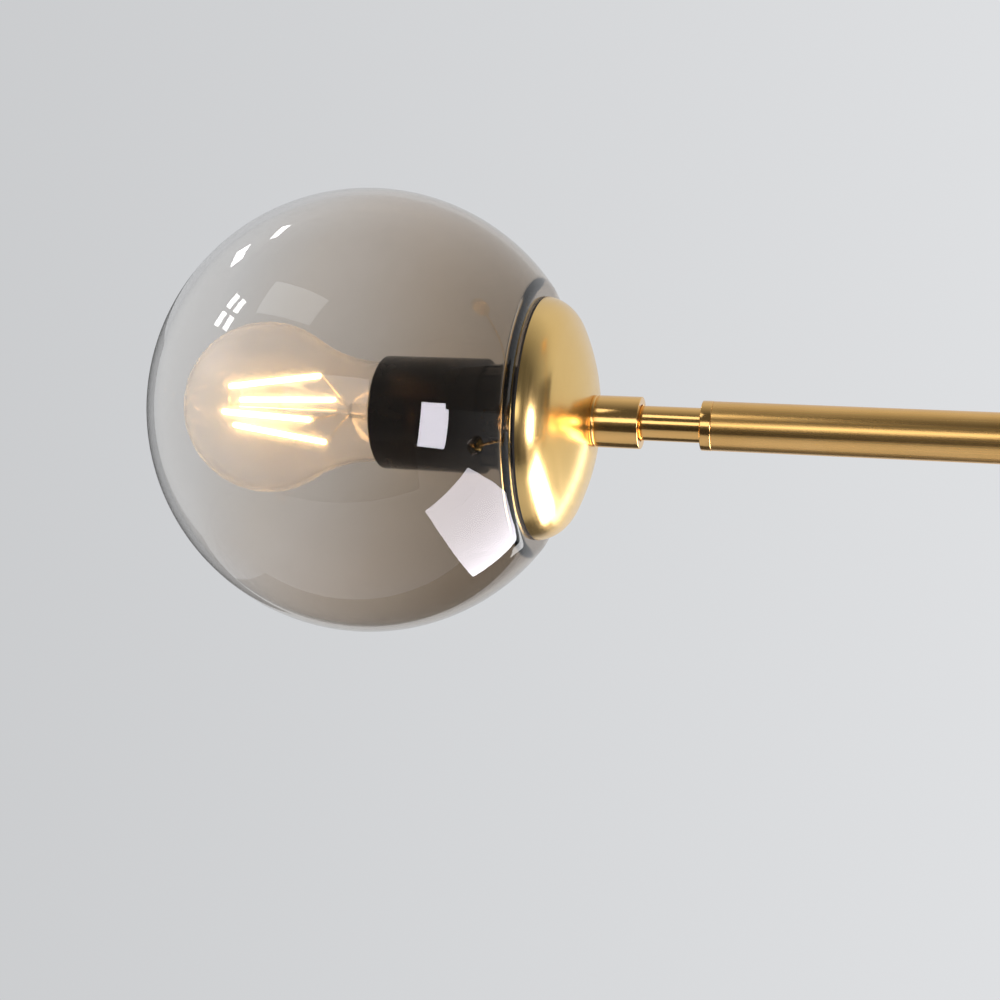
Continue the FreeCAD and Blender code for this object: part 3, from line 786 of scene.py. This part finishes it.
def add_card(name, azimuth, elevation, distance, width, height, tone):
    """A dark card that only reflections see, as photographers stand beside polished metal."""
    across, up = width / 2, height / 2
    corners = [(-across, -up, 0), (across, -up, 0), (across, up, 0), (-across, up, 0)]
    mesh = bpy.data.meshes.new(name)
    mesh.from_pydata(corners, [], [(0, 1, 2, 3)])
    card = add_object(name, mesh, facing_globe(azimuth, elevation, distance))
    card.visible_camera = False
    card.visible_diffuse = False
    card.visible_transmission = False
    card.visible_shadow = False

    def plain(nodes):
        shader = nodes.add("ShaderNodeEmission", {"Color": rgb(tone, tone, tone), "Strength": 1.0})
        nodes.finish(shader.outputs["Emission"])

    mesh.materials.append(material(name, plain))


add_camera()
set_world()
add_floor()
WHITE = (1.0, 1.0, 1.0)
SKY = (0.95, 0.91, 1.0)
# Name, azimuth, elevation, distance, width, height, radiance and tone of each lamp.
LAMPS = (
    ("left_pane_0", -76.0, 35.5, 1.8, 0.12, 0.17, 11.0, WHITE),
    ("left_pane_1", -68.5, 35.5, 1.8, 0.12, 0.17, 11.0, WHITE),
    ("left_pane_2", -76.0, 28.5, 1.8, 0.12, 0.17, 11.0, WHITE),
    ("left_pane_3", -68.5, 28.5, 1.8, 0.12, 0.17, 11.0, WHITE),
    ("left_pane_4", -110.0, 40.0, 1.8, 0.26, 0.13, 8.0, WHITE),
    ("left_pane_5", -116.0, 51.0, 1.8, 0.22, 0.09, 8.0, WHITE),
    ("upper_lamp", -36.0, 45.0, 1.7, 0.9, 0.45, 1.5, WHITE),
    ("viewer_window", -3.0, 5.0, 1.6, 1.2, 0.5, 1.5, WHITE),
    ("small_window", 50.5, -6.6, 1.8, 0.44, 0.66, 15.5, SKY),
    ("white_table", 105.0, -42.0, 1.3, 1.5, 0.7, 9.5, SKY),
    ("far_strip", 150.0, -18.0, 1.8, 0.2, 1.0, 2.5, WHITE),
)
# Name, azimuth, elevation, distance, width, height and tone of each dark card.
CARDS = (
    ("low_front", 5.0, -32.0, 1.4, 2.0, 0.75, 0.04),
    ("right_side", 82.0, 11.0, 1.6, 1.6, 0.55, 0.12),
    ("low_behind", 185.0, -52.0, 1.7, 2.4, 1.1, 0.08),
    ("left_behind", -135.0, -8.0, 2.0, 1.0, 1.4, 0.06),
)
for lamp_row in LAMPS:
    add_lamp(*lamp_row)
for card_row in CARDS:
    add_card(*card_row)

# What makes the mesh, then piece, CAD node, body, material and slot of each piece made anew.
ARM_PIECES = (
    (globe_mesh, "globe", "globe", "globe", "smoked_glass", "smoked_glass"),
    (seal_mesh, "seal", "seal", "arm", "black_rubber", "black_rubber"),
    (dish_mesh, "dish", "dish", "arm", "dish_brass", "polished_brass"),
    (collar_mesh, "collar", "collar", "arm", "turned_brass", "satin_brass"),
    (neck_mesh, "neck", "neck", "arm", "turned_brass", "satin_brass"),
    (tube_mesh, "tube", "tube", "arm", "arm_brass", "satin_brass"),
    (holder_shell_mesh, "holder_shell", "holder_shell", "arm", "black_phenolic", "black_phenolic"),
    (bulb_mesh, "bulb_glass", "bulb_glass", "bulb", "clear_glass", "clear_glass"),
    (filaments_mesh, "filaments", "bulb_filaments", "bulb", "lit_filament", "lit_filament"),
)
for make_mesh, *rest in ARM_PIECES:
    show_on_arms(make_mesh(), *rest)

# ---- Finishes of the CAD nodes -----------------------------------------------------------------
# Every node gets one. Those that nothing replaces show it.
SLOT_MATERIAL = {
    "satin_brass": "stem_brass",
    "polished_brass": "dish_brass",
    "raw_brass": "raw_brass",
    "smoked_glass": "smoked_glass",
    "clear_glass": "clear_glass",
    "stem_glass": "stem_glass",
    "lit_filament": "lit_filament",
    "nickel_cap": "nickel",
    "black_phenolic": "black_phenolic",
    "black_rubber": "black_rubber",
    "ceramic": "ceramic",
    "zinc_steel": "zinc",
    "white_plastic": "white_plastic",
}
for subpart in frame["record"]["subparts"]:
    node = frame["nodes"][subpart["node"]]
    node.data.materials.clear()
    node.data.materials.append(MATERIALS[SLOT_MATERIAL[subpart["material_slot"]]])
